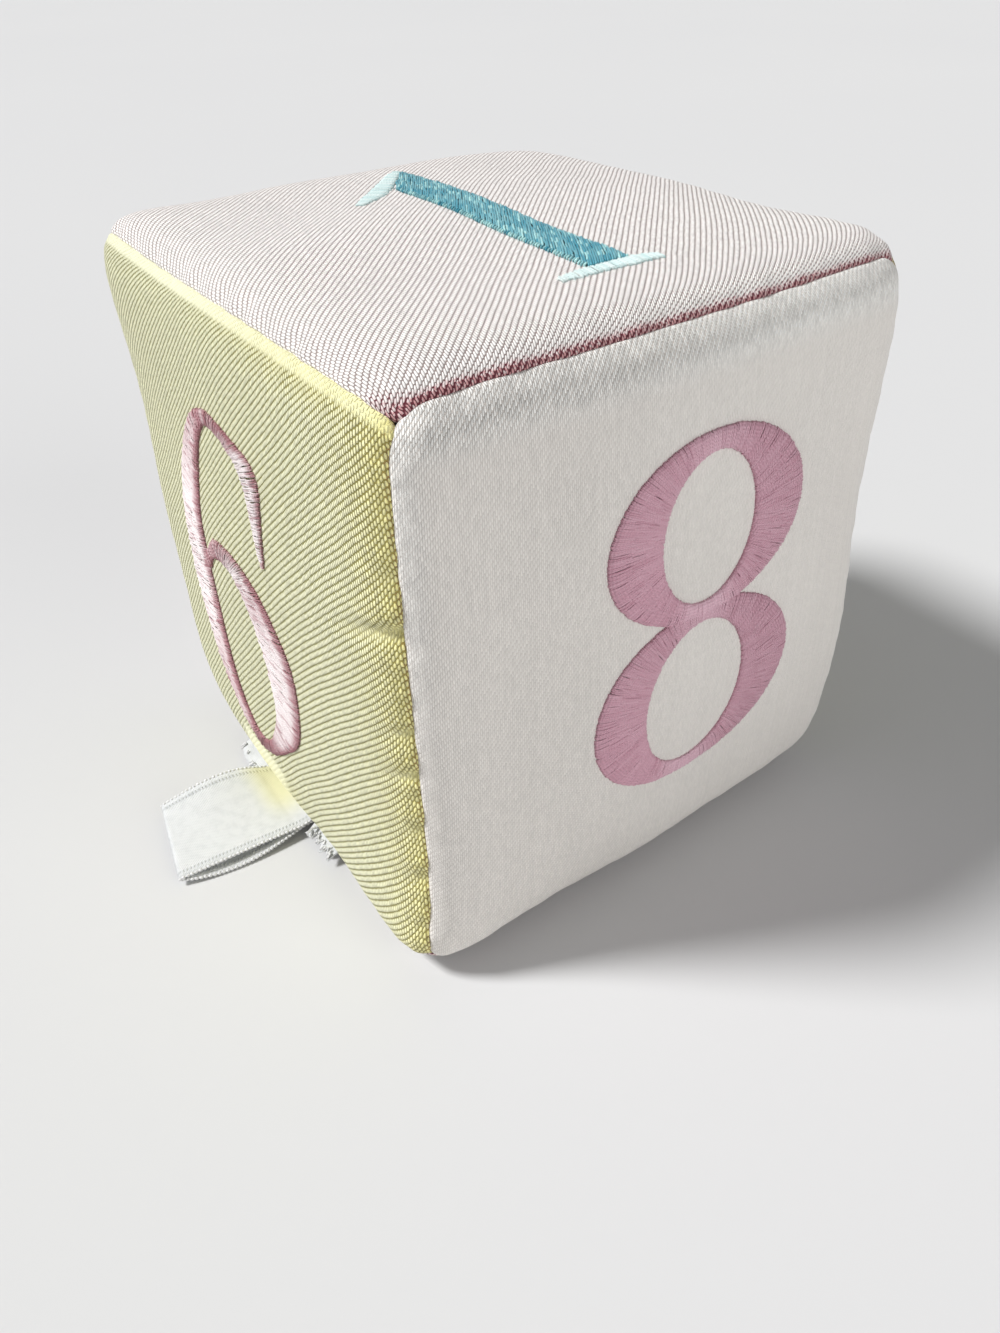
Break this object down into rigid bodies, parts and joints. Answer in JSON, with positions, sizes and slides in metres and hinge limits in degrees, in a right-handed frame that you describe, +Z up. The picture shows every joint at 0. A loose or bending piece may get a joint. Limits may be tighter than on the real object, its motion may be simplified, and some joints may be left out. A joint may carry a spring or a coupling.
{
  "type": "soft fabric block",
  "caption": "Soft cube play block sewn from cloth panels round a foam core, with satin-stitched numerals and a folded ribbon loop in a lower seam.",
  "frame": {"origin": "centre of the flat foot that the block stands on", "axes": "+Z up, +X to the right and +Y away, as seen by someone who faces the side with the eight; the ribbon loop sticks out to -X"},
  "size_m": [0.127, 0.1071, 0.1098],
  "materials": {
    "pink_twill": "soft pink diagonal twill weave",
    "yellow_twill": "pale yellow diagonal twill weave with raised ribs",
    "white_cotton": "off-white fine diagonal twill weave",
    "foam": "open-cell cushion foam",
    "backing": "non-woven embroidery backing",
    "seam_thread": "overlock sewing thread",
    "satin_teal": "satin-stitched embroidery thread, lustrous",
    "satin_aqua": "satin-stitched embroidery thread, lustrous",
    "satin_rose": "satin-stitched embroidery thread, lustrous",
    "satin_blush": "satin-stitched embroidery thread, lustrous",
    "ribbon": "woven satin ribbon"
  },
  "bodies": {
    "block": {"panel_top": "pink_twill", "panel_bottom": "pink_twill", "panel_front": "white_cotton", "panel_back": "white_cotton", "panel_left": "yellow_twill", "panel_right": "yellow_twill", "foam_core": "foam", "embroidery_backing_top": "backing", "embroidery_backing_front": "backing", "embroidery_backing_back": "backing", "embroidery_backing_left": "backing", "embroidery_backing_right": "backing", "overlock_top_front": "seam_thread", "overlock_top_back": "seam_thread", "overlock_top_left": "seam_thread", "overlock_top_right": "seam_thread", "overlock_bottom_front": "seam_thread", "overlock_bottom_back": "seam_thread", "overlock_bottom_left": "seam_thread", "overlock_bottom_right": "seam_thread", "overlock_front_left": "seam_thread", "overlock_front_right": "seam_thread", "overlock_back_left": "seam_thread", "overlock_back_right": "seam_thread", "numeral_one_stem": "satin_teal", "numeral_one_flag": "satin_aqua", "numeral_one_foot": "satin_aqua", "numeral_eight": "satin_rose", "numeral_four": "satin_rose", "numeral_six": "satin_blush", "numeral_seven": "satin_blush", "label_tails": "ribbon", "care_label_stub": "ribbon"},
    "label": {"loop_label": "ribbon"}
  },
  "joints": [
    {"name": "label_flap", "type": "hinge", "parent": "block", "child": "label", "pos_m": [-0.04794, 0.0056, 0.00207], "axis": [0, 1, 0], "range_deg": [-150, 60], "stiffness_Nm_per_rad": 0.0008}
  ]
}
